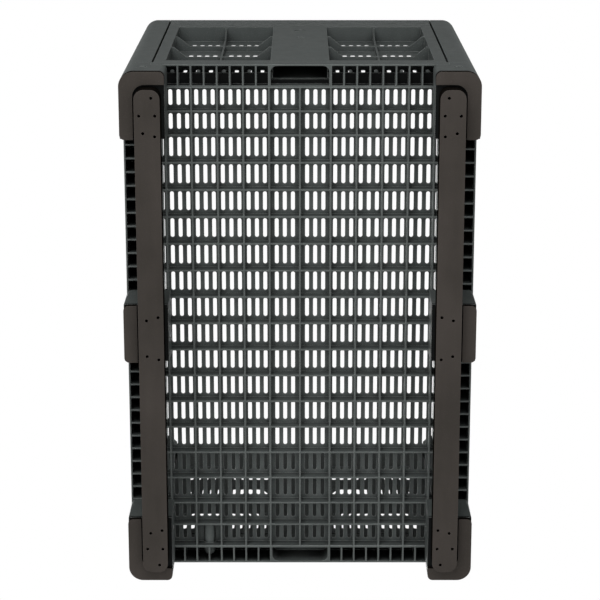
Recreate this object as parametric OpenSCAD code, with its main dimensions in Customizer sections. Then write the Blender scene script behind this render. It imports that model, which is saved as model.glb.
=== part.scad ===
// Collapsible pallet box on two runner skids. Four perforated walls fold inward on
// steel rods, each at its own height, between four plug-in corner posts.
// Millimetres, +Z up, ground at z = 0, length along Y, front wall at -Y.

/* [Overall] */
// Length over the end walls
crate_l = 1200; // [1150:1:1400]
// Width over the side walls
crate_w = 800; // [780:1:1000]
// Height from the ground to the rim
crate_h = 886; // [860:1:900]
// Radius of the upright outer corners
corner_r = 33; // [20:1:40]

/* [Heights] */
// Underside of the foot pads above the ground
pad_z = 35; // [25:1:40]
// Thickness of a foot pad
pad_t = 14; // [10:1:20]
// Lower edges of the deck ribs above the ground
deck_z = 143; // [130:1:150]
// Depth of the deck ribs
rib_h = 30; // [20:1:40]
// Thickness of the floor sheet
floor_t = 4; // [3:0.5:6]

/* [Deck] */
// Thickness of the deck ribs
rib_t = 3.5; // [3:0.5:5]
// Half width of the two centre rows of cells
centre_cell = 70; // [60:1:80]
// Pitch of the lengthwise ribs outside the centre rows
cell_w = 58.7; // [55:0.1:62]
// Length of the two short cells at each end
end_cell = 55; // [50:1:60]
// Number of cells between the short ones
long_cells = 14; // [10:2:16]
// Width of a floor slot
slot_w = 9; // [6:1:12]
// Distance between floor slots in a cell
slot_pitch = 18.7; // [16:0.1:19]
// Cell length that the slots leave unpierced
slot_bridge = 18.5; // [14:0.5:24]

/* [Legs and runners] */
// Width of a leg
leg_w = 101; // [98:1:110]
// Length of a corner leg at its lower end
end_leg_l = 152; // [140:1:160]
// Length of a middle leg at its lower end
mid_leg_l = 134; // [120:1:150]
// How far a leg grows towards the deck on each free side
leg_flare = 9; // [4:1:12]
// Wall thickness of a leg
leg_wall = 6; // [4:1:8]
// Width of a runner
runner_w = 57; // [50:1:60]
// Distance from the crate's side to a runner
runner_inset = 36; // [34:1:40]
// Distance from the crate's end to a runner's end
runner_short = 34.5; // [28:0.5:38]
// Radius of a runner's end corners
runner_r = 21; // [10:1:25]
// Gap between a runner and a foot pad
pad_gap = 5.5; // [3:0.5:8]

/* [Walls] */
// Thickness of a wall
wall_t = 40; // [36:1:44]
// Thickness of a wall's perforated skin
skin_t = 2.5; // [2.5:0.5:6]
// Width of the stile at each side of a wall
stile_w = 26; // [22:1:34]
// Height of the rail under the windows
rail_h = 26; // [22:1:34]
// Height of the rim band above the windows
rim_h = 129; // [110:1:140]
// Flat panel between the windows of an end wall
end_band = 134; // [110:1:150]
// Flat panel between the windows of a side wall
side_band = 44; // [36:1:60]
// Thickness of the window ribs
web_t = 4; // [3:0.5:6]
// Height of the window ribs over the skin, between their slopes
web_low = 14; // [10:1:20]
// Width of a wall slot
wall_slot_w = 11; // [8:1:13]
// Length of a wall slot
wall_slot_l = 48; // [36:1:50]
// Distance between wall slots across
wall_slot_x = 19.5; // [18:0.5:21]
// Distance between rows of wall slots
wall_slot_z = 57; // [54:0.5:66]
// Top row of wall slots below the windows' top
slots_down = 72.5; // [60:0.5:80]
// Wall slots on each side of a window's upright rib
slots_a_side = 5; // [3:1:5]
// Distance between the cross ribs of a window
web_drop = 173; // [160:1:180]

/* [Corner posts] */
// Side of a corner post
post_w = 64; // [60:1:70]
// Groove between a post and a wall
groove = 5; // [3:0.5:7]
// Side of the spigot under a post
spigot_w = 36; // [30:1:38]
// Length of the spigot
spigot_l = 58; // [40:1:64]
// Chamfer on a post's inner corner
post_chamfer = 18; // [10:1:24]

/* [Hinges and latches] */
// Depth of the sill under each side wall
sill_d = 45; // [43:1:48]
// Depth of the sill under the front wall
front_sill_d = 52; // [43:1:54]
// Depth of the sill under the rear wall
rear_sill_d = 42; // [42:1:48]
// Radius of a hinge rod
rod_r = 3; // [2.5:0.25:3.5]
// Radius of a hinge knuckle
knuckle_r = 6.5; // [6:0.25:6.5]
// Width of a sill's hinge knuckle
knuckle_w = 20; // [14:1:22]
// Height of a latch bolt
bolt_h = 16; // [12:1:20]
// Thickness of a latch bolt
bolt_t = 6; // [5:0.5:8]
// Length of a latch bolt
bolt_l = 46; // [42:1:52]
// Travel of a latch bolt
bolt_travel = 18; // [16:1:20]

/* [Runner screws] */
// Radius of a screw's shank
screw_r = 2.15; // [2:0.05:2.5]
// Radius of a screw's head
screw_head_r = 3.2; // [3:0.1:3.6]
// Length of a screw's shank
screw_l = 36; // [32:1:40]

/* [Hidden] */
$fn = 48;
half_l = crate_l / 2;
half_w = crate_w / 2;
fit = 0.3;         // between parts that are put together
run = 0.08;        // radial clearance of a screw in its hole
rod_play = 0.25;   // radial clearance of a hinge rod in its bore
stack_gap = 1.2;   // between the folded walls
edge_gap = 1;      // under a standing wall
over = 1;          // how far a cutting shape runs past a face
joined = 0.01;     // how far a block runs into the one it stands on
grey = "#4d5352";
brown = "#413b37";
steel = "#b9bcbd";

// Deck
floor_z = deck_z + rib_h + floor_t;
deck_x = half_w - sill_d;
deck_y = half_l - (front_sill_d + rear_sill_d) / 2;   // half the deck's length
deck_back = (front_sill_d - rear_sill_d) / 2;          // deck's middle behind the crate's
long_cell = (2 * deck_y - 4 * end_cell) / long_cells;
row_count = long_cells + 4;
col_count = floor((deck_x - centre_cell) / cell_w);
// Lower edge of row i, counted from the front
function row_y(i) = deck_back - deck_y + min(i, 2) * end_cell + max(0, min(i - 2, long_cells)) * long_cell
    + max(0, i - 2 - long_cells) * end_cell;
// Inner edge of column j on the +X side
function col_x(j) = j == 0 ? 0 : j > col_count + 1 ? deck_x : centre_cell + (j - 1) * cell_w;

// Walls: 0 front, 1 rear, 2 left, 3 right, each hinged one wall thickness above the last
function sill_depth(n) = [front_sill_d, rear_sill_d, sill_d, sill_d][n];
pin_in = knuckle_r + 0.5;
function hinge_z(n) = floor_z + stack_gap + pin_in + n * (wall_t + stack_gap);
function sill_top(n) = hinge_z(n) - pin_in - edge_gap;
function wall_w(n) = (n < 2 ? crate_w : crate_l) - 2 * (post_w + groove);
function window_count(n) = n < 2 ? 2 : 4;
function band_w(n) = n < 2 ? end_band : side_band;
function window_w(n) = (wall_w(n) - 2 * stile_w - (window_count(n) - 1) * band_w(n)) / window_count(n);
function window_u(n, i) = (i - (window_count(n) - 1) / 2) * (window_w(n) + band_w(n));
window_top = crate_h - rim_h;
function window_low(n) = hinge_z(n) - pin_in + rail_h;
top_slot_z = window_top - slots_down;
function window_h(n) = window_top - window_low(n);
function web_count(n) = floor((window_h(n) - wall_slot_z) / web_drop);
// Slots come in pairs of rows, with a row left out at every cross rib
function slot_z(row) = top_slot_z - row * wall_slot_z;
function has_slots(n, row) = row % 3 != 2 && slot_z(row) - wall_slot_l / 2 > window_low(n) + web_t;

// Hinge knuckles on the sills
side_pitch = 64.5;     // distance between the knuckles of a side sill
side_n = 7;            // knuckles on each half of a side sill
first_knuckle = centre_cell + cell_w / 4;
end_knuckles = [for (s = [-1, 1], k = [0 : col_count - 1]) s * (first_knuckle + k * cell_w)];
side_knuckles = [for (s = [-1, 1], k = [0 : side_n - 1]) s * (first_knuckle + k * side_pitch)];
function knuckles(n) = n < 2 ? end_knuckles : side_knuckles;
knuckle_cheek = 1.5;   // a knuckle's block inside the knuckle's round

// Posts and latches
spigot_in = 10;        // spigot behind the post's inner faces
post_c = post_w - spigot_w / 2 - spigot_in;
latch_down = 60;       // latch bolt's centre below the rim
latch_z = crate_h - latch_down;
latch_v = 24;                          // latch bolt's centre behind the wall's outer face
tab_w = 8;
tab_h = 8;
tab_in = 4;            // tab from the bolt's inner end
dish = 5;              // finger dish round the tab
dish_d = 5;
pocket_d = bolt_travel - groove - edge_gap + 4;

// Legs, pads and screws: distances from the crate's end (corner legs) or middle, and from its side
leg_z = pad_z + pad_t;
runner_x = half_w - runner_inset - runner_w / 2;
end_screws = [[52.5, -9.5], [92, -17.5], [92, 17.5], [131, 9.5], [138, -16.5]];
mid_screws = [[42, 9.5], [49.5, -16.5]];
head_in = 15;          // runner left over the screw heads
seat_z = leg_z - head_in;
head_h = 3;
socket_r = 1.8;        // six-sided drive in a screw head
socket_d = 1.8;
boss_r = 6.5;
boss_h = screw_l;
foot_r = 12;           // upright corners of the feet
post_z = floor_z - 2;  // shoulder under a post
mark_d = 2;            // depth of the round moulding marks
leg_mark_r = 10;       // mark on a corner leg's end face
leg_mark_x = 48;       // its middle from the crate's side
leg_mark_down = 33;    // its middle under the leg's top
band_marks = [[196, 15], [320, 10]];   // marks on the front wall's middle band: below the rim, radius
sill_roof = 5;
trough_r = 15;         // outer corners of the hand trough in an end sill
drain_boss_x = centre_cell + 2.5 * cell_w;
drain_boss_r = 14;
boss_short = 10;       // boss's round end inside the rear sill's outer face
drain_v = 25.5;        // drain holes in the front wall's rail, from its outer face
drain_r = 4.75;
open_v = 23.5;         // inner edge of the openings through the front sill and rail
rod_short = 2;         // a rod's end inside its wall's edge
shell = 5;             // wall of the hollow bands
latch_room = 80;       // solid ends of the rim band
web_slope = 35;        // length of a window rib's slope
web_edge = 6;          // a window rib's full height at each end
line_d = 3;            // depth of the lines along the rim band
line_h = 8;
line_down = [28, 64, 101];   // their lower edges below the rim
cap_h = 26;            // rim's ends that reach over to the posts
hollow_skin = 1;       // between a hollow band and the wall's skin

// ---------- Placing ----------

// Puts children drawn against the front wall's outer face (u along X, v inward) on side n
module side(n) {
    rotate([0, 0, [0, 180, -90, 90][n]])
        translate([0, -(n < 2 ? half_l : half_w), 0])
            children();
}

// Mirrors children drawn at the front left corner, or on the left, to another one
module corner(right, rear) {
    mirror([right, 0, 0])
        mirror([0, rear, 0])
            children();
}

// A flat outline of u and z stood up, from v = near to v = near + depth
module stand(near, depth) {
    translate([0, near + depth, 0])
        rotate([90, 0, 0])
            linear_extrude(depth)
                children();
}

// A slot with round ends, along Y
module slot_2d(w, l) {
    square([w, l - w], center = true);
    for (s = [-1, 1])
        translate([0, s * (l - w) / 2])
            circle(d = w);
}

// What a round mark takes from a face at y = 0, with the material at +Y
module moulding_mark(r) {
    translate([0, mark_d, 0])
        rotate([90, 0, 0])
            cylinder(r = r, h = mark_d + over);
}

// A rectangle from its two corners
module rect_2d(a, b) {
    translate(a)
        square(b - a);
}

// ---------- Deck ----------

// Slots sit in every cell, but not over the legs or on the drain boss
function row_mid(i) = (row_y(i) + row_y(i + 1)) / 2;
function over_leg(j, i) = j > col_count
    && (abs(row_mid(i)) > half_l - end_leg_l || abs(row_mid(i)) < mid_leg_l / 2);
function on_boss(s, j, i) = s < 0 && j == 3 && i == row_count - 1;

module floor_slots() {
    for (s = [-1, 1], j = [0 : col_count + 1], i = [0 : row_count - 1])
        if (!over_leg(j, i) && !on_boss(s, j, i)) {
            mid = col_x(j) + (j == 0 ? centre_cell : cell_w) / 2;
            for (k = [-1 : 1])
                if (mid + k * slot_pitch + slot_w / 2 < col_x(j + 1) - rib_t)
                    translate([s * (mid + k * slot_pitch), row_mid(i)])
                        slot_2d(slot_w, row_y(i + 1) - row_y(i) - slot_bridge);
        }
}

module deck_cells() {
    for (s = [-1, 1], j = [0 : col_count + 1], i = [0 : row_count - 1])
        mirror([s < 0 ? 1 : 0, 0])
            rect_2d([col_x(j) + rib_t / 2, row_y(i) + rib_t / 2],
                    [col_x(j + 1) - (j == col_count + 1 ? 1 : 0.5) * rib_t, row_y(i + 1) - rib_t / 2]);
}

module deck_outline() {
    difference() {
        translate([-deck_x, deck_back - deck_y])
            square([2 * deck_x, 2 * deck_y]);
        for (s = [-1, 1], t = [-1, 1])
            translate([s * half_w, t * half_l])
                square(2 * (post_w + fit), center = true);
    }
}

// Half-round boss of a drain outlet, along Y under the unpierced cell
module drain_boss() {
    difference() {
        translate([-drain_boss_x, row_y(row_count - 1), deck_z + rib_h])
            rotate([-90, 0, 0])
                cylinder(r = drain_boss_r, h = end_cell);
        translate([-drain_boss_x - cell_w, row_y(row_count - 2), deck_z + rib_h])
            cube([2 * cell_w, 3 * end_cell, drain_boss_r + over]);
    }
}

module deck() {
    color(grey) {
        translate([0, 0, deck_z])
            linear_extrude(rib_h)
                difference() {
                    deck_outline();
                    deck_cells();
                }
        translate([0, 0, deck_z + rib_h])
            linear_extrude(floor_t)
                difference() {
                    deck_outline();
                    floor_slots();
                }
        drain_boss();
    }
}

// ---------- Sills ----------

// Underside of a sill: cells open downward between cross ribs
module sill_cells(n) {
    inner = sill_depth(n) - rib_t;
    if (n < 2) {
        // Trough in the middle, then cells of half the deck's pitch, a rib at every deck rib
        difference() {
            rect_2d([-centre_cell + rib_t, rib_t], [centre_cell - rib_t, inner]);
            for (s = [-1, 1])
                translate([s * (centre_cell - rib_t), rib_t])
                    difference() {
                        square(2 * trough_r, center = true);
                        translate([-s * trough_r, trough_r])
                            circle(trough_r);
                    }
        }
        for (s = [-1, 1], k = [0 : 2 * col_count - 1])
            rect_2d([s * (centre_cell + (k + 0.5) * cell_w / 2) - cell_w / 4 + rib_t / 2, rib_t],
                    [s * (centre_cell + (k + 0.5) * cell_w / 2) + cell_w / 4 - rib_t / 2, inner]);
    } else {
        for (i = [2 : row_count - 3], k = [0 : 1])
            rect_2d([row_y(i) + k * long_cell / 2 + rib_t / 2, rib_t],
                    [row_y(i) + (k + 1) * long_cell / 2 - rib_t / 2, inner]);
        // Short cells over the corner legs
        for (e = [[post_w + fit - half_l, row_y(1)], [row_y(1), row_y(2)],
                  [row_y(row_count - 2), row_y(row_count - 1)], [row_y(row_count - 1), half_l - post_w - fit]])
            rect_2d([e[0] + rib_t / 2, rib_t], [e[1] - rib_t / 2, inner]);
    }
}

module sill_knuckle(n, u) {
    translate([u - knuckle_w / 2, 0, 0]) {
        translate([0, wall_t - pin_in - knuckle_r + knuckle_cheek, sill_top(n) - joined])
            cube([knuckle_w, 2 * (knuckle_r - knuckle_cheek), pin_in + edge_gap]);
        translate([0, wall_t - pin_in, hinge_z(n)])
            rotate([0, 90, 0])
                cylinder(r = knuckle_r, h = knuckle_w);
    }
}

module rod_bore(n, w) {
    translate([-w / 2 - over, wall_t - pin_in, hinge_z(n)])
        rotate([0, 90, 0])
            cylinder(r = rod_r + rod_play, h = w + 2 * over);
}

module sill(n) {
    sill_l = (n < 2 ? crate_w : crate_l) - 2 * (post_w + fit);
    top = sill_top(n);
    color(grey)
        side(n) {
            difference() {
                union() {
                    translate([0, 0, deck_z])
                        linear_extrude(top - sill_roof - deck_z)
                            difference() {
                                rect_2d([-sill_l / 2, 0], [sill_l / 2, sill_depth(n)]);
                                sill_cells(n);
                            }
                    translate([0, 0, top - sill_roof])
                        linear_extrude(sill_roof)
                            difference() {
                                rect_2d([-sill_l / 2, 0], [sill_l / 2, sill_depth(n)]);
                                // The front cells and trough run on up into the wall
                                if (n == 0)
                                    intersection() {
                                        sill_cells(n);
                                        union() {
                                            rect_2d([-sill_l / 2, 0], [sill_l / 2, open_v]);
                                            rect_2d([-centre_cell, 0], [centre_cell, wall_t - skin_t]);
                                        }
                                    }
                            }
                    for (u = knuckles(n))
                        sill_knuckle(n, u);
                    // The drain boss runs on through the rear sill
                    if (n == 1)
                        translate([drain_boss_x, boss_short + drain_boss_r, deck_z + rib_h]) {
                            rotate([-90, 0, 0])
                                cylinder(r = drain_boss_r, h = rear_sill_d - boss_short - drain_boss_r);
                            sphere(drain_boss_r);
                        }
                }
                rod_bore(n, sill_l);
            }
        }
}

// ---------- Legs, pads, runners ----------

// Plan of a leg with its free corners rounded: x from the crate's side inward, y along the crate
module leg_plan(l, end) {
    r = end ? corner_r : foot_r;
    difference() {
        rect_2d([-half_w, -l / 2], [-half_w + leg_w, l / 2]);
        translate([-half_w, -l / 2])
            round_cut(r);
        translate([-half_w, l / 2])
            mirror([0, 1])
                round_cut(foot_r);
        if (end)
            translate([-half_w + leg_w, -l / 2])
                mirror([1, 0])
                    round_cut(foot_r);
    }
}

// What rounding takes from a corner at the origin, with the material at +X +Y
module round_cut(r) {
    difference() {
        rect_2d([-over, -over], [r, r]);
        translate([r, r])
            circle(r);
    }
}

// A leg's screw places, from the leg's own middle
function leg_screws(end) = end ? [for (p = end_screws) [runner_x + p[1], p[0] - end_leg_l / 2]]
    : [for (p = mid_screws, s = [-1, 1]) [runner_x + p[1], s * p[0]]];

module leg(end, right, rear) {
    l = end ? end_leg_l : mid_leg_l;
    wide = l + (end ? 1 : 2) * leg_flare;
    color(grey)
        corner(right, rear)
            translate([0, end ? -half_l + l / 2 : 0, 0]) {
                difference() {
                    union() {
                        intersection() {
                            translate([0, end ? leg_flare / 2 : 0, leg_z])
                                linear_extrude(deck_z - leg_z)
                                    leg_plan(wide, end);
                            leg_taper(l, end);
                        }
                        if (end)
                            socket_block(l);
                    }
                    difference() {
                        translate([-half_w + leg_wall, -l / 2 + leg_wall, leg_z + leg_wall])
                            cube([leg_w - 2 * leg_wall, l - 2 * leg_wall, deck_z]);
                        for (p = leg_screws(end))
                            translate([-p[0], p[1], leg_z])
                                cylinder(r = boss_r, h = boss_h);
                        if (end)
                            translate([-half_w, -l / 2, leg_z])
                                cube([post_w, post_w, deck_z]);
                        translate([-half_w + leg_w / 2 - rib_t / 2, -l / 2, leg_z])
                            cube([rib_t, l, deck_z - leg_z]);
                    }
                    for (p = leg_screws(end))
                        translate([-p[0], p[1], leg_z - over])
                            cylinder(r = screw_r + run, h = boss_h + over);
                    if (end)
                        post_socket(l);
                    if (end)
                        translate([leg_mark_x - half_w, -l / 2, deck_z - leg_mark_down])
                            moulding_mark(leg_mark_r);
                }
            }
}

// The slopes of a leg's free sides, seen along X
module leg_taper(l, end) {
    a = -l / 2 - (end ? over : 0);
    rotate([90, 0, 90])
        translate([0, 0, -half_w - over])
            linear_extrude(leg_w + 2 * over)
                polygon([[a, leg_z - over], [l / 2, leg_z - over], [l / 2, leg_z], [l / 2 + leg_flare, deck_z],
                         [l / 2 + leg_flare, deck_z + over], [a - (end ? 0 : leg_flare), deck_z + over],
                         [a - (end ? 0 : leg_flare), deck_z], [a, leg_z]]);
}

// Column under a post, up to the post's shoulder
module socket_block(l) {
    translate([0, 0, deck_z])
        linear_extrude(post_z - deck_z)
            translate([-half_w + post_w / 2, -l / 2 + post_w / 2])
                post_plan(0);
}

module post_socket(l) {
    translate([-half_w + post_w - post_c, -l / 2 + post_w - post_c, post_z - spigot_l / 2])
        cube([spigot_w + 2 * fit, spigot_w + 2 * fit, spigot_l + 4 * fit + over], center = true);
}

// Plan of a post about its own middle, outer corner at -X -Y
module post_plan(inset) {
    h = post_w / 2 - inset;
    difference() {
        square(2 * h, center = true);
        translate([-h, -h])
            round_cut(corner_r - inset);
        polygon([[h + over, h + over], [h + over, h - post_chamfer - over], [h - post_chamfer - over, h + over]]);
    }
}

module pad(end, right, rear) {
    l = end ? end_leg_l : mid_leg_l;
    inner = -half_w + runner_inset + runner_w + leg_w;
    color(brown)
        corner(right, rear)
            translate([0, end ? -half_l + l / 2 : 0, pad_z])
                linear_extrude(pad_t)
                    difference() {
                        leg_plan(l, end);
                        // Room for the runner, open towards the crate's middle
                        difference() {
                            rect_2d([-half_w + runner_inset - pad_gap, end ? -l / 2 + runner_short - pad_gap : -l],
                                    [inner, l]);
                            if (end)
                                translate([-half_w + runner_inset - pad_gap, -l / 2 + runner_short - pad_gap])
                                    round_cut(runner_r + pad_gap);
                        }
                    }
}

// Screw places on the left runner, from the crate's centre
runner_screws = concat(
    [for (p = end_screws, s = [-1, 1]) [-runner_x - p[1], s * (half_l - p[0])]],
    [for (p = mid_screws, s = [-1, 1]) [-runner_x - p[1], s * p[0]]]);

module runner(right) {
    l = crate_l - 2 * runner_short;
    color(brown)
        corner(right, 0)
            difference() {
                linear_extrude(leg_z)
                    difference() {
                        translate([-runner_x, 0])
                            square([runner_w, l], center = true);
                        for (a = [0, 1], b = [0, 1])
                            translate([-runner_x + (a - 0.5) * runner_w, (b - 0.5) * l])
                                mirror([a, 0])
                                    mirror([0, b])
                                        round_cut(runner_r);
                    }
                for (p = runner_screws)
                    translate([p[0], p[1], 0]) {
                        translate([0, 0, -over])
                            cylinder(r = screw_head_r + fit, h = seat_z + over);
                        cylinder(r = screw_r + run, h = leg_z + over);
                    }
            }
}

module runner_screw_set(right) {
    color(steel)
        corner(right, 0)
            for (p = runner_screws)
                translate([p[0], p[1], seat_z - head_h])
                    difference() {
                        union() {
                            cylinder(r = screw_head_r, h = head_h);
                            cylinder(r = screw_r, h = head_h + screw_l);
                        }
                        translate([0, 0, -over])
                            cylinder(r = socket_r, h = socket_d + over, $fn = 6);
                    }
}

// ---------- Hinge rods ----------

// One rod along a wall, but two in front, where the middle band is open below
module hinge_rod(n) {
    w = wall_w(n) - 2 * rod_short;
    inner = end_band / 2;
    color(steel)
        side(n)
            for (s = n == 0 ? [-1, 1] : [0])
                translate([s * (inner + w / 2) / 2, wall_t - pin_in, hinge_z(n)])
                    rotate([0, 90, 0])
                        cylinder(r = rod_r, h = n == 0 ? w / 2 - inner : w, center = true);
}

// ---------- Walls ----------

module wall_windows_2d(n) {
    for (i = [0 : window_count(n) - 1])
        translate([window_u(n, i) - window_w(n) / 2, window_low(n)])
            square([window_w(n), window_top - window_low(n)]);
}

module wall_slots_2d(n) {
    for (row = [0 : floor(window_h(n) / wall_slot_z)])
        if (has_slots(n, row))
            for (i = [0 : window_count(n) - 1], k = [1 : slots_a_side], s = [-1, 1])
                translate([window_u(n, i) + s * k * wall_slot_x, slot_z(row)])
                    slot_2d(wall_slot_w, wall_slot_l);
}

// A rib across a window, high at the window's edges and low between its slopes
module cross_web(n, i, z) {
    w = window_w(n) / 2;
    deep = wall_t - skin_t;
    translate([window_u(n, i), 0, z])
        linear_extrude(web_t)
            polygon([[-w, deep], [-w, 0], [-w + web_edge, 0], [-w + web_slope, deep - web_low],
                     [w - web_slope, deep - web_low], [w - web_edge, 0], [w, 0], [w, deep]]);
}

// The upright rib in a window, with longer slopes at its ends in an end wall
module upright_web(n, i) {
    low = window_low(n);
    deep = wall_t - skin_t;
    start = n < 2 ? web_t : deep - web_low;
    translate([window_u(n, i) - web_t / 2, 0, 0])
        rotate([90, 0, 90])
            linear_extrude(web_t)
                polygon([[deep, low], [start, low], [deep - web_low, low + 2 * web_slope],
                         [deep - web_low, window_top - 2 * web_slope], [start, window_top], [deep, window_top]]);
}

// The wall's face, with ends on the rim that close the grooves beside the posts
module wall_outline_2d(n, low) {
    cap_w = wall_w(n) + 2 * (groove - edge_gap);
    translate([-wall_w(n) / 2, low])
        square([wall_w(n), crate_h - low]);
    translate([-cap_w / 2, crate_h - cap_h])
        square([cap_w, cap_h]);
}

module wall_frame_2d(n) {
    low = hinge_z(n) - pin_in;
    difference() {
        wall_outline_2d(n, low);
        wall_windows_2d(n);
    }
}

module wall_skin_2d(n) {
    low = hinge_z(n) - pin_in;
    difference() {
        wall_outline_2d(n, low);
        wall_slots_2d(n);
    }
}

// The bands and the rim are hollow boxes
module wall_hollows(n) {
    deep = wall_t - skin_t;
    for (i = [0 : window_count(n) - 2])
        translate([(window_u(n, i) + window_u(n, i + 1)) / 2 - band_w(n) / 2 + shell, shell, window_low(n)])
            cube([band_w(n) - 2 * shell, deep - shell - hollow_skin, window_h(n)]);
    translate([-wall_w(n) / 2 + latch_room, shell, window_top + shell])
        cube([wall_w(n) - 2 * latch_room, deep - shell - hollow_skin, rim_h - 2 * shell]);
}

// The front wall's rail is open below and drained through its top; its middle band is open below
module front_rail_hollow() {
    low = hinge_z(0) - pin_in;
    long = wall_w(0) - 2 * stile_w;
    translate([-long / 2, shell, low - over])
        cube([long, open_v - shell, rail_h - web_t + over]);
    // Wider over the knuckles, where the drain holes are
    translate([-long / 2, shell, low + notch_top])
        cube([long, drain_v + drain_r - shell, rail_h - web_t - notch_top]);
    translate([shell - end_band / 2, shell, low - over])
        cube([end_band - 2 * shell, wall_t - skin_t - shell - hollow_skin, rail_h + 2 * over]);
    for (s = [-1, 1], k = [0 : 2 * col_count - 1])
        translate([s * (centre_cell + (k + 0.5) * cell_w / 2), drain_v, low])
            cylinder(r = drain_r, h = rail_h + over);
}

// Channel of a latch bolt at the +u end, with the slot for its finger tab
module latch_channel(n) {
    u = wall_w(n) / 2;
    translate([u - bolt_l - 1 - fit, latch_v - bolt_t / 2 - fit, latch_z - bolt_h / 2 - fit])
        cube([bolt_l + 1 + fit + over, bolt_t + 2 * fit, bolt_h + 2 * fit]);
    translate([u - bolt_l - 1 + tab_in - fit, latch_v, latch_z - tab_h / 2 - fit])
        cube([tab_w + bolt_travel + 2 * fit, wall_t, tab_h + 2 * fit]);
    translate([u - bolt_l - 1 + tab_in - dish, wall_t - dish_d, latch_z - tab_h / 2 - dish])
        cube([tab_w + bolt_travel + 2 * dish, wall_t, tab_h + 2 * dish]);
}

// Room round each sill knuckle, up to notch_h over the pin
notch_h = knuckle_r + 1.5 * edge_gap;
notch_top = pin_in + notch_h + edge_gap;
module knuckle_notches(n) {
    for (u = knuckles(n))
        translate([u - knuckle_w / 2 - edge_gap, wall_t - pin_in - knuckle_r - edge_gap, hinge_z(n) - pin_in - over])
            cube([knuckle_w + 2 * edge_gap, pin_in + knuckle_r + edge_gap + over,
                  pin_in + over + notch_h]);
}

// Chamfer that lets the wall's lower inner edge turn over the sill
module turn_chamfer(n) {
    c = (2 - sqrt(2)) * pin_in;
    translate([-wall_w(n) / 2 - over, 0, hinge_z(n) - pin_in])
        rotate([90, 0, 90])
            linear_extrude(wall_w(n) + 2 * over)
                polygon([[wall_t + over, -over], [wall_t + over, c + over], [wall_t, c], [wall_t - c, 0],
                         [wall_t - c - over, -over]]);
}

// Lines along the rim band
module rim_lines(n) {
    for (down = line_down)
        translate([-wall_w(n) / 2 - groove, -over, crate_h - down])
            cube([wall_w(n) + 2 * groove, over + line_d, line_h]);
}

module wall(n) {
    color(grey)
        side(n)
            difference() {
                union() {
                    stand(0, wall_t - skin_t) wall_frame_2d(n);
                    stand(wall_t - skin_t, skin_t) wall_skin_2d(n);
                    for (i = [0 : window_count(n) - 1]) {
                        upright_web(n, i);
                        for (k = [1 : web_count(n)])
                            cross_web(n, i, window_top - k * web_drop);
                    }
                }
                wall_hollows(n);
                if (n == 0)
                    front_rail_hollow();
                rod_bore(n, wall_w(n));
                knuckle_notches(n);
                turn_chamfer(n);
                rim_lines(n);
                if (n == 0)
                    for (m = band_marks)
                        translate([0, 0, crate_h - m[0]])
                            moulding_mark(m[1]);
                latch_channel(n);
                mirror([1, 0, 0]) latch_channel(n);
            }
}

// ---------- Corner posts ----------

module post(right, rear) {
    color(grey)
        corner(right, rear)
            translate([-half_w + post_w / 2, -half_l + post_w / 2, 0])
                difference() {
                    union() {
                        translate([0, 0, post_z + fit])
                            linear_extrude(crate_h - post_z - fit)
                                post_plan(0);
                        translate([post_w / 2 - post_c - spigot_w / 2, post_w / 2 - post_c - spigot_w / 2,
                                   post_z - spigot_l])
                            cube([spigot_w, spigot_w, spigot_l + 2 * fit]);
                    }
                    // Hollow from below
                    translate([post_w / 2 - post_c - spigot_w / 2 + leg_wall,
                               post_w / 2 - post_c - spigot_w / 2 + leg_wall, post_z - spigot_l - over])
                        cube([spigot_w - 2 * leg_wall, spigot_w - 2 * leg_wall,
                              crate_h - post_z + spigot_l - 2 * leg_wall]);
                    // Latch pockets, one in each inner face
                    for (m = [0, 1])
                        mirror([m, -m, 0])
                            translate([post_w / 2 - pocket_d, -post_w / 2 + latch_v - bolt_t / 2 - 2 * fit,
                                       latch_z - bolt_h / 2 - 2 * fit])
                                cube([pocket_d + over, bolt_t + 4 * fit, bolt_h + 4 * fit]);
                }
}

// ---------- Latches ----------

module latch(n, flip) {
    color("#2f3130")
        side(n)
            mirror([flip, 0, 0])
                translate([wall_w(n) / 2 - bolt_l - 1, 0, latch_z]) {
                    translate([0, latch_v - bolt_t / 2, -bolt_h / 2])
                        cube([bolt_l, bolt_t, bolt_h]);
                    translate([tab_in, latch_v, -tab_h / 2])
                        cube([tab_w, wall_t - latch_v - 0.5, tab_h]);
                }
}

// ---------- Parts ----------

deck();
for (n = [0 : 3]) {
    where = ["front", "rear", "left", "right"][n];
    sill(n);
    hinge_rod(n);
    wall(n);
}
for (right = [0, 1]) {
    hand = ["left", "right"][right];
    runner(right);
    runner_screw_set(right);
    leg(false, right, 0);
    pad(false, right, 0);
    for (rear = [0, 1]) {
        place = str(["front", "rear"][rear], "_", hand);
        leg(true, right, rear);
        pad(true, right, rear);
        post(right, rear);
    }
}
latch(0, 1);  // latch_front_left
latch(0, 0);  // latch_front_right
latch(1, 0);  // latch_rear_left
latch(1, 1);  // latch_rear_right
latch(2, 0);  // latch_left_front
latch(2, 1);  // latch_left_rear
latch(3, 1);  // latch_right_front
latch(3, 0);  // latch_right_rear
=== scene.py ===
# %% [markdown]
# # A folding crate of pallet size, dressed for its looks
#
# The crate is made of moulded plastic: a ribbed and slotted base on two runners, four walls that
# fold inwards on steel rods, and four corner posts that lock them. The solids come from the
# construction model and stay as they are. Here they get their finishes, and the small things that
# a moulder or a fitter would see are modelled on top of them.

import bpy
import bmesh
from mathutils import Matrix, Vector


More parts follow.
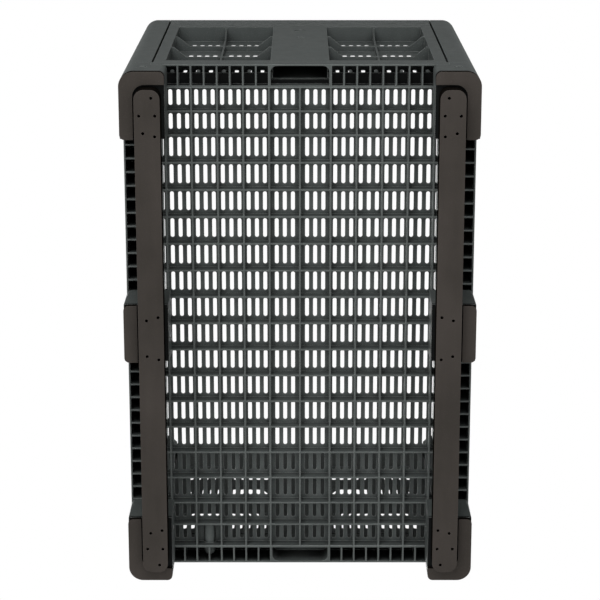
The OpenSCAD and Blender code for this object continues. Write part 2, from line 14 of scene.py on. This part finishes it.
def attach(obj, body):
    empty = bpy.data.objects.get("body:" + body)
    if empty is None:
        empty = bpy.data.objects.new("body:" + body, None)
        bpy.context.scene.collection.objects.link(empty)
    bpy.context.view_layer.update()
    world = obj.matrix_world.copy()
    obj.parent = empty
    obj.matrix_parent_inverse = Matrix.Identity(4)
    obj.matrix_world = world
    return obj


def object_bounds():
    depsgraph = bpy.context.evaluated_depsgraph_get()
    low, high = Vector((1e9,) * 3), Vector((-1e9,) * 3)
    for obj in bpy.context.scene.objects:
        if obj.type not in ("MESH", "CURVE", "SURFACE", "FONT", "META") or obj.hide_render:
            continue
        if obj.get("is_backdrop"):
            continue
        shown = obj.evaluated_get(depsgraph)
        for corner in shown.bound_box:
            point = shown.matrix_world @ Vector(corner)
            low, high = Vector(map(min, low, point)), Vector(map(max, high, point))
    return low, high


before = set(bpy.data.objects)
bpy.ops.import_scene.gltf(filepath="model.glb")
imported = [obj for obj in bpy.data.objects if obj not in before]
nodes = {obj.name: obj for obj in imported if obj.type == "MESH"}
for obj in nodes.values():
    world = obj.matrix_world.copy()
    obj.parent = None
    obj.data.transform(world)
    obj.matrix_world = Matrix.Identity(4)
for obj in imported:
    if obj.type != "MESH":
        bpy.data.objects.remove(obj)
cad_low, cad_high = (corner.copy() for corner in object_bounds())
print(len(nodes), "nodes, from", tuple(cad_low), "to", tuple(cad_high))

# %% [markdown]
# ## Writing shaders as sums
#
# A shader is a graph of boxes and wires. Wiring each Math node by hand is slow to write and slow to
# read, so one small class stands for an output socket. Adding or multiplying two of them makes the
# Math node and wires it, and the finish then reads like the formula that it is.

# %% A socket that does arithmetic
class Value:
    def __init__(self, tree, socket):
        self.tree, self.socket = tree, socket

    def math(self, operation, left, right):
        return self.tree.add("ShaderNodeMath", {"operation": operation}, {0: left, 1: right})

    def __add__(self, other):
        return self.math("ADD", self, other)

    def __sub__(self, other):
        return self.math("SUBTRACT", self, other)

    def __rsub__(self, other):
        return self.math("SUBTRACT", other, self)

    def __mul__(self, other):
        return self.math("MULTIPLY", self, other)

    __radd__ = __add__
    __rmul__ = __mul__


print("sockets can be added, subtracted and multiplied")

# %% [markdown]
# ## One way to make a node
#
# Every other node comes from one method. It takes the node's type, its settings, which are set
# first because they decide which sockets there are, and then what each socket gets: a number, or
# the output of another node. Adding nodes in the editor would do the same by hand.

# %% The node graph
class Tree:
    """The node graph of one material, world or lamp."""

    def __init__(self, owner):
        owner.use_nodes = True
        self.nodes, self.links = owner.node_tree.nodes, owner.node_tree.links
        self.nodes.clear()

    def add(self, kind, settings=None, sockets=None, out=0):
        """Makes a node, sets it up, feeds its sockets, and gives back one of its outputs."""
        node = self.nodes.new(kind)
        for name, setting in (settings or {}).items():
            if name == "stops":
                ramp = node.color_ramp
                while len(ramp.elements) < len(setting):
                    ramp.elements.new(0.5)
                for stop, (place, shade) in zip(ramp.elements, setting):
                    stop.position, stop.color = place, (*shade, 1)
            else:
                setattr(node, name, setting)
        for name, fed in (sockets or {}).items():
            socket = node.inputs[name]
            if isinstance(fed, Value):
                self.links.new(fed.socket, socket)
            else:
                socket.default_value = fed
        return Value(self, node.outputs[out] if node.outputs else None)


print("node trees ready")

# %% [markdown]
# ## Tools for mixing
#
# A finish is mostly noise that is stretched, compared and used to blend two colours. These few
# helpers are all that it takes. Colours are written as they look on a screen, from 0 to 255, and
# turned into the linear ones that a shader works with.

# %% Colours, noise and masks
def linear(red, green, blue):
    """Screen colour, 0 to 255, as the linear colour that a shader takes."""
    return tuple(((c / 255 + 0.055) / 1.055) ** 2.4 for c in (red, green, blue))


def noise(tree, place, scale, detail=3.0, roughness=0.5):
    return tree.add(
        "ShaderNodeTexNoise", {"noise_dimensions": "3D"},
        {"Vector": place, "Scale": scale, "Detail": detail, "Roughness": roughness},
    )


def part(tree, vector, axis):
    return tree.add("ShaderNodeSeparateXYZ", None, {"Vector": vector}, out=axis)


def larger(tree, first, second):
    return tree.add("ShaderNodeMath", {"operation": "MAXIMUM"}, {0: first, 1: second})


def spread(tree, mask, low, high, to_low=0.0, to_high=1.0):
    """The mask's part between low and high, stretched over a new range."""
    return tree.add(
        "ShaderNodeMapRange", {"clamp": True},
        {"Value": mask, "From Min": low, "From Max": high, "To Min": to_low, "To Max": to_high},
    )


def blend_colour(tree, factor, first, second):
    mixed = tree.add(
        "ShaderNodeMix", {"data_type": "RGBA", "clamp_factor": True},
        {"Factor": factor}, out=2,
    )
    node = mixed.socket.node
    for socket, fed in ((node.inputs[6], first), (node.inputs[7], second)):
        if isinstance(fed, Value):
            tree.links.new(fed.socket, socket)
        else:
            socket.default_value = (*fed, 1)
    return mixed


print("a middle grey is", linear(128, 128, 128))

# %% [markdown]
# ## Rubbed and highlit corners
#
# Hands, forks and other crates rub the corners of plastic paler and duller, and the paleness is also
# a painted highlight, as light catches the rounded corners. Painting that by hand would take an
# image for every piece. The Bevel node rounds the normal near an edge instead, and where it differs
# from the true normal there is a corner. Noise breaks the wear and the painted highlight up.

# %% Corner wear and painted highlight
edge_round = 0.0016
corner_starts, corner_full = 0.01, 0.12
scuff_low, scuff_high = 0.25, 0.55
least_rubbed_and_highlit = 0.55


def rubbed_and_highlit_corners(tree, scuffs):
    """The rounded normal, the true one, and how much each place is rubbed and painted pale as a
    highlight.
    """
    soft_edge = tree.add("ShaderNodeBevel", {"samples": 4}, {"Radius": edge_round})
    true_normal = tree.add("ShaderNodeNewGeometry", out="True Normal")
    facing = tree.add(
        "ShaderNodeVectorMath", {"operation": "DOT_PRODUCT"}, {0: soft_edge, 1: true_normal}, out=1
    )
    corner = spread(tree, 1 - facing, corner_starts, corner_full)
    broken_up = spread(tree, scuffs, scuff_low, scuff_high, least_rubbed_and_highlit, 1.0)
    return soft_edge, true_normal, corner * broken_up


print("corners rounded by", edge_round, "m")

# %% [markdown]
# ## Painted shade
#
# Ambient Occlusion tells how closed in a place is, and deep corners and recesses are painted darker
# there as shade. Three more faces are painted dark that are black with shade on the real crate, and
# it is as well to know that this is painted shade and not dirt. Inside the front sill, the real
# cells are open to their full depth, while this solid has a roof there that carries the hinge
# knuckles.
# The undersides of the legs beside the runners, and the upright faces of the runners and pads,
# would catch the lamp below. Their heights are taken from the pieces themselves.

# %% Where the painted shade lies
def lowest(name):
    return min((nodes[name].matrix_world @ vertex.co).z for vertex in nodes[name].data.vertices)


# How far the painted shade looks for walls around a place, and how closed in a place must be to get
# it.
shade_reach = 0.055
closed_in, open_air, most_shade = 0.22, 0.38, 0.96
upright_face, level_face = 0.3, 0.9
blur = 0.002
# Where the painted shade starts: the channel's front and roof, and the top of the legs' shaded feet.
channel_front = cad_low.y + 0.008
channel_roof = lowest("sill_front") + 0.025
foot_shade_line = lowest("leg_front_left") + 0.003


def painted_shade_mask(tree, place, true_normal, upright, hollow, foot):
    """Closed-in places are painted dark as shade. Upright is how much the faces that stand upright
    are painted darker as shade.

    Hollow is a place from front to back and a height. What lies behind the one and above the other
    is painted dark as shade. Foot is a height, and what lies below it is painted dark as shade.
    """
    openness = tree.add(
        "ShaderNodeAmbientOcclusion", {"samples": 6}, {"Distance": shade_reach}, out=1
    )
    # Closed-in places get the painted shade.
    shaded = spread(tree, openness, closed_in, open_air, most_shade, 0.0)
    if upright:
        level = tree.add(
            "ShaderNodeMath", {"operation": "ABSOLUTE"}, {0: part(tree, true_normal, "Z")}
        )
        shaded = larger(tree, shaded, spread(tree, level, upright_face, level_face, upright, 0.0))
    if hollow:
        front, roof = hollow
        behind = spread(tree, part(tree, place, "Y"), front, front + blur)
        above = spread(tree, part(tree, place, "Z"), roof - 3 * blur, roof + blur)
        shaded = larger(tree, shaded, behind * above)
    if foot:
        clear_of_foot = spread(tree, part(tree, place, "Z"), foot, foot + 3 * blur)
        shaded = larger(tree, shaded, 1 - clear_of_foot)
    return shaded


print("channel from", (channel_front, channel_roof), "and mud up to", foot_shade_line)

# %% [markdown]
# ## Moulded plastic
#
# Crates like this are moulded from polyethylene, often with recycled material in it. Close up it is
# never one flat colour: the melt leaves broad cloudy patches, faint flow streaks and a fine spark
# grain. A plain glossy grey would read as painted metal. So the finish layers noise at four sizes,
# clouds, streaks, speckle and grain, and puts painted shade and the rubbed corners, partly a painted
# highlight, on top. The shine is kept very low, because the white studio would glaze every face
# that is seen nearly edge-on.

# %% The plastic's recipe
cloud_scale, streak_scale, speckle_scale, grain_scale, scuff_scale = 4.5, 3.0, 420, 900, 38
flow = (9, 1.2, 9)
cloud_low, cloud_high = 0.36, 0.62
speckle_low, speckle_high, most_speckle = 0.60, 0.75, 0.35
pale_of_rub_and_highlight, rubbed_dull = 0.9, 0.12
relief_deep = 0.0002


def moulded_plastic(
    name, deep, plain, pale, shade_tone, rough, grain, upright=0.0, shine=0.03, hollow=None, foot=None
):
    """Deep, plain and pale are the plastic's own colours, and pale also paints the highlight on the
    corners. The shade tone is the colour of the painted shade, and grain is how strong its relief
    is.
    """
    material = bpy.data.materials.new(name)
    tree = Tree(material)
    place = tree.add("ShaderNodeTexCoord", out="Object")
    flow_place = tree.add(
        "ShaderNodeMapping", {"vector_type": "POINT"}, {"Vector": place, "Scale": flow}
    )
    clouds = noise(tree, place, cloud_scale, 4, 0.55)
    streaks = noise(tree, flow_place, streak_scale, 3, 0.6)
    speckle = noise(tree, place, speckle_scale, 2, 0.6)
    fine = noise(tree, place, grain_scale, 2, 0.5)
    scuffs = noise(tree, place, scuff_scale, 4, 0.7)
    soft_edge, true_normal, rubbed_and_highlit = rubbed_and_highlit_corners(tree, scuffs)
    shaded = painted_shade_mask(tree, place, true_normal, upright, hollow, foot)

    cloudy = spread(tree, clouds * 0.7 + streaks * 0.3, cloud_low, cloud_high)
    specked = spread(tree, speckle, speckle_low, speckle_high, 0, most_speckle)
    tone = blend_colour(tree, cloudy, deep, plain)
    tone = blend_colour(tree, specked, tone, pale)
    # Painted shade: the shade tone is laid where the mask finds closed-in or shaded places.
    tone = blend_colour(tree, shaded, tone, shade_tone)
    # The corners are painted paler: partly wear, partly a painted highlight.
    tone = blend_colour(tree, rubbed_and_highlit * pale_of_rub_and_highlight, tone, pale)
    dull = spread(tree, scuffs * 0.5 + clouds * 0.5, 0.3, 0.7, rough - 0.07, rough + 0.09)
    relief = tree.add(
        "ShaderNodeBump", None,
        {"Strength": grain, "Distance": relief_deep, "Height": fine * 0.7 + speckle * 0.3,
         "Normal": soft_edge},
    )
    shader = tree.add(
        "ShaderNodeBsdfPrincipled", None,
        {"Base Color": tone, "Roughness": dull + rubbed_and_highlit * rubbed_dull, "Normal": relief,
         "Specular IOR Level": shine},
    )
    tree.add("ShaderNodeOutputMaterial", None, {"Surface": shader})
    return material


print("plastic of", speckle_scale, "speckles to the metre")

# %% [markdown]
# ## The crate's plastics
#
# The base, walls and posts are grey, the runners and pads are a brown regrind, and the latches are
# black. The front sill and the legs are the same grey with more painted shade on it, so they share
# its mix.

# %% The plastics
# The fourth colour of each mix is the painted shade tone.
grey_mix = (
    linear(66, 70, 69), linear(74, 78, 77), linear(130, 134, 132), linear(14, 15, 15), 0.62, 0.35
)
brown_mix = (
    linear(50, 47, 44), linear(59, 55, 52), linear(83, 78, 74), linear(14, 12, 10), 0.64, 0.45
)
black_mix = (
    linear(24, 25, 26), linear(30, 31, 32), linear(62, 63, 64), linear(10, 10, 10), 0.42, 0.30
)
grey = moulded_plastic("grey_moulded_plastic", *grey_mix)
# The upright faces of the runners and pads are painted dark as shade.
brown = moulded_plastic("brown_moulded_plastic", *brown_mix, upright=0.95, shine=0.0)
black = moulded_plastic("black_moulded_plastic", *black_mix)
# The sill's channel and the legs below their low edge are painted dark as shade.
channel = moulded_plastic(
    "grey_plastic_with_channel", *grey_mix, hollow=(channel_front, channel_roof)
)
grey_with_feet_shade = moulded_plastic("grey_plastic_with_painted_shade_on_feet", *grey_mix, foot=foot_shade_line)
print("plastics:", grey.name, brown.name, black.name, channel.name, grey_with_feet_shade.name)

# %% [markdown]
# ## Zinc on steel
#
# The hinge rods and the screws are bright zinc-plated steel. Plating is metal, so it takes almost
# all of its colour from reflection. Left clean it would be a mirror. A faint cloud of white bloom
# lowers the metallic share and raises the roughness in patches, as the plating has after a season.

# %% The zinc's recipe
bloom_scale, bloom_low, bloom_high = 60, 0.45, 0.70
brush_scale = 700


def zinc_plate(name):
    material = bpy.data.materials.new(name)
    tree = Tree(material)
    place = tree.add("ShaderNodeTexCoord", out="Object")
    bloom = spread(tree, noise(tree, place, bloom_scale, 4, 0.65), bloom_low, bloom_high)
    brushed = noise(tree, place, brush_scale, 2, 0.5)
    tone = blend_colour(tree, bloom, linear(176, 180, 183), linear(150, 152, 150))
    relief = tree.add(
        "ShaderNodeBump", None,
        {"Strength": 0.2, "Distance": relief_deep / 2, "Height": brushed}
    )
    shader = tree.add(
        "ShaderNodeBsdfPrincipled", None,
        {"Base Color": tone, "Metallic": 1 - bloom * 0.35, "Roughness": bloom * 0.25 + 0.28,
         "Normal": relief},
    )
    tree.add("ShaderNodeOutputMaterial", None, {"Surface": shader})
    return material


zinc = zinc_plate("zinc_plated_steel")
print("metal:", zinc.name)

# %% [markdown]
# ## Which piece is made of what
#
# A node's name says what it is, so the finish can be looked up by the first word. The finish goes
# into the slot that the node already has, because its mesh is the construction model's.

# %% Dress the nodes
finish_of = {
    "deck": grey, "sill": grey, "leg": grey_with_feet_shade, "wall": grey, "post": grey,
    "pad": brown, "runner": brown, "latch": black, "hinge": zinc,
}
special = {"runner_screws_left": zinc, "runner_screws_right": zinc, "sill_front": channel}
for name, node in nodes.items():
    finish = special.get(name) or finish_of[name.split("_")[0]]
    for slot in range(len(node.data.materials)):
        node.data.materials[slot] = finish
print({finish.name: finish.users for finish in (grey, channel, grey_with_feet_shade, brown, black, zinc)})

# %% [markdown]
# ## Grip ridges on the latches
#
# A thumb slides each latch bolt by a small tab in a dish on the wall's inner face. A smooth tab
# would slip, so it carries three fine ridges across the way it slides. They stand less than half a
# millimetre proud, and end flush with the wall, so that a folded wall still lies flat.

# %% Ridges
inwards_from = {
    "front": Vector((0, 1, 0)), "rear": Vector((0, -1, 0)),
    "left": Vector((1, 0, 0)), "right": Vector((-1, 0, 0)),
}
upwards = Vector((0, 0, 1))
ridge_count, ridge_wide, ridge_proud, ridge_sunk = 3, 0.0011, 0.0004, 0.0005
ridge_reach, ridge_pitch, ridge_round = 1.7, 0.6, 0.00025


def tab_corners(latch, inwards):
    """The corners of the tab's face: the latch's points that lie furthest inwards."""
    points = [latch.matrix_world @ vertex.co for vertex in latch.data.vertices]
    deepest = max(point.dot(inwards) for point in points)
    return [point for point in points if point.dot(inwards) > deepest - 0.00001]


def latch_grip(name):
    inwards = inwards_from[name.split("_")[1]]
    along = inwards.cross(upwards)
    corners = tab_corners(nodes[name], inwards)
    middle = sum(corners, Vector()) / len(corners)
    half_wide = max((corner - middle).dot(along) for corner in corners)
    half_tall = max((corner - middle).dot(upwards) for corner in corners)
    shape = bmesh.new()
    for step in range(ridge_count):
        ridge = bmesh.ops.create_cube(shape, size=1.0)["verts"]
        bmesh.ops.scale(
            shape, vec=(ridge_wide, ridge_proud + ridge_sunk, ridge_reach * half_tall), verts=ridge
        )
        sideways = (step - (ridge_count - 1) / 2) * half_wide * ridge_pitch
        bmesh.ops.translate(
            shape, vec=(sideways, (ridge_proud - ridge_sunk) / 2, 0), verts=ridge
        )
    bmesh.ops.bevel(
        shape, geom=shape.edges[:], offset=ridge_round, offset_type="OFFSET", segments=2,
        profile=0.5, affect="EDGES", clamp_overlap=True, material=-1,
    )
    stand = Matrix((along, inwards, upwards)).transposed().to_4x4()
    stand.translation = middle
    bmesh.ops.transform(shape, matrix=stand, verts=shape.verts)
    bmesh.ops.recalc_face_normals(shape, faces=shape.faces)
    mesh = bpy.data.meshes.new("grip_" + name)
    shape.to_mesh(mesh)
    shape.free()
    mesh.materials.append(black)
    grip = bpy.data.objects.new("grip_" + name, mesh)
    bpy.context.scene.collection.objects.link(grip)
    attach(grip, name)
    return grip


grips = [latch_grip(name) for name in sorted(nodes) if name.startswith("latch")]
print(len(grips), "grips, the first round", tuple(grips[0].data.vertices[0].co))

# %% [markdown]
# ## The studio
#
# The crate is looked at from below and in front, so the camera stands under the floor. A real
# studio would use a glass table. Here the floor is pale from above, where it takes the shadow, and
# clear from underneath. It throws no shadow on the crate itself. Part of its brightness is a glow
# that only the eye, gloss and glass see, so that it reads as pale without more light on the crate.

# %% Floor
floor_half, floor_gap, floor_tone, floor_glow = 9, 0.001, 0.86, 0.55


def seen_rays(tree):
    """One for a ray that comes from the eye, straight or by way of gloss or glass, and else zero."""
    ways = tree.add("ShaderNodeLightPath").socket.node.outputs
    camera_ray, glossy_ray, glass_ray = (
        Value(tree, ways[name])
        for name in ("Is Camera Ray", "Is Glossy Ray", "Is Transmission Ray")
    )
    return tree.add(
        "ShaderNodeMath", {"operation": "MINIMUM"}, {0: camera_ray + glossy_ray + glass_ray, 1: 1.0}
    )


def stage_floor():
    material = bpy.data.materials.new("pale_floor")
    tree = Tree(material)
    paint = tree.add("ShaderNodeBsdfDiffuse", None, {"Color": (floor_tone,) * 3 + (1,)})
    glow = tree.add("ShaderNodeEmission", None, {"Color": (1, 1, 1, 1), "Strength": 1.0})
    lit = tree.add(
        "ShaderNodeMixShader", None, {0: seen_rays(tree) * floor_glow, 1: paint, 2: glow}
    )
    clear = tree.add("ShaderNodeBsdfTransparent")
    underside = tree.add("ShaderNodeNewGeometry", out="Backfacing")
    both = tree.add("ShaderNodeMixShader", None, {0: underside, 1: lit, 2: clear})
    tree.add("ShaderNodeOutputMaterial", None, {"Surface": both})
    shape = bmesh.new()
    bmesh.ops.create_grid(shape, x_segments=1, y_segments=1, size=floor_half)
    bmesh.ops.translate(shape, vec=(0, 0, -floor_gap), verts=shape.verts)
    mesh = bpy.data.meshes.new("floor")
    shape.to_mesh(mesh)
    shape.free()
    mesh.materials.append(material)
    floor = bpy.data.objects.new("floor", mesh)
    bpy.context.scene.collection.objects.link(floor)
    floor.visible_shadow = False
    floor.visible_diffuse = False
    floor.visible_glossy = False
    floor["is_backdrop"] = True
    return floor


floor = stage_floor()
print(floor.name, "laid,", 2 * floor_half, "m wide")

# %% [markdown]
# ## The light
#
# Plastic this dark shows its form by broad soft light from many sides. One large lamp stands under
# the crate and one in front, and four smaller ones light the top, the sides and the back. The
# world is white to the eye and to gloss, and gives next to no light of its own, so that the inside
# stays dark behind the slots.

# %% World and lamps
lamps = {
    "lamp_below": ((-0.5, -0.8, -4.9), (0, 0, 0.2), 9.0, 570),
    "lamp_front": ((-1.0, -4.6, -2.4), (0, 0, 0.5), 3.0, 135),
    "lamp_above": ((-0.9, 2.4, 4.8), (0, 0, 0.4), 3.0, 330),
    "lamp_left": ((-4.8, 1.0, 2.4), (0, 0, 0.4), 3.0, 190),
    "lamp_right": ((4.8, 0.8, 2.4), (0, 0, 0.4), 3.0, 200),
    "lamp_behind": ((0.8, 5.0, 2.4), (0, 0, 0.4), 3.0, 170),
}


def studio_world(fill):
    world = bpy.data.worlds.new("studio")
    bpy.context.scene.world = world
    tree = Tree(world)
    light = tree.add(
        "ShaderNodeBackground", None, {"Color": (1, 1, 1, 1), "Strength": fill}
    )
    white = tree.add("ShaderNodeBackground", None, {"Color": (1, 1, 1, 1), "Strength": 1.0})
    both = tree.add("ShaderNodeMixShader", None, {0: seen_rays(tree), 1: light, 2: white})
    tree.add("ShaderNodeOutputWorld", None, {"Surface": both})


def soft_lamp(name, place, aim, size, power):
    lamp = bpy.data.lights.new(name, "AREA")
    lamp.shape, lamp.size, lamp.energy = "SQUARE", size, power
    stand = bpy.data.objects.new(name, lamp)
    bpy.context.scene.collection.objects.link(stand)
    stand.location = place
    stand.rotation_mode = "QUATERNION"
    stand.rotation_quaternion = (Vector(aim) - Vector(place)).to_track_quat("-Z", "Y")
    return stand


studio_world(0.05)
for name, (place, aim, size, power) in lamps.items():
    soft_lamp(name, place, aim, size, power)
print(len(lamps), "lamps lit")

# %% [markdown]
# ## The camera
#
# A long lens from five metres keeps the runners nearly parallel. The camera looks up at the base
# and just catches the front wall along the upper edge of the view. Its turn is worked out from the
# way it looks and the way that is up for it.

# %% Camera
stands_at = Vector((0, -1.3160, -4.4751))
sight, upward = Vector((0, 0.26403, 0.96451)), Vector((0, -0.96451, 0.26403))
eye = bpy.data.cameras.new("camera")
eye.sensor_width, eye.lens = 36, 124.18
eye.clip_start, eye.clip_end = 0.05, 60
camera = bpy.data.objects.new("camera", eye)
bpy.context.scene.collection.objects.link(camera)
turn = Matrix((sight.cross(upward), upward, -sight)).transposed()
camera.location = stands_at
camera.rotation_mode = "QUATERNION"
camera.rotation_quaternion = turn.to_quaternion()
bpy.context.scene.camera = camera
bpy.context.scene.view_settings.view_transform = "Standard"
print("camera stands at", tuple(camera.location))
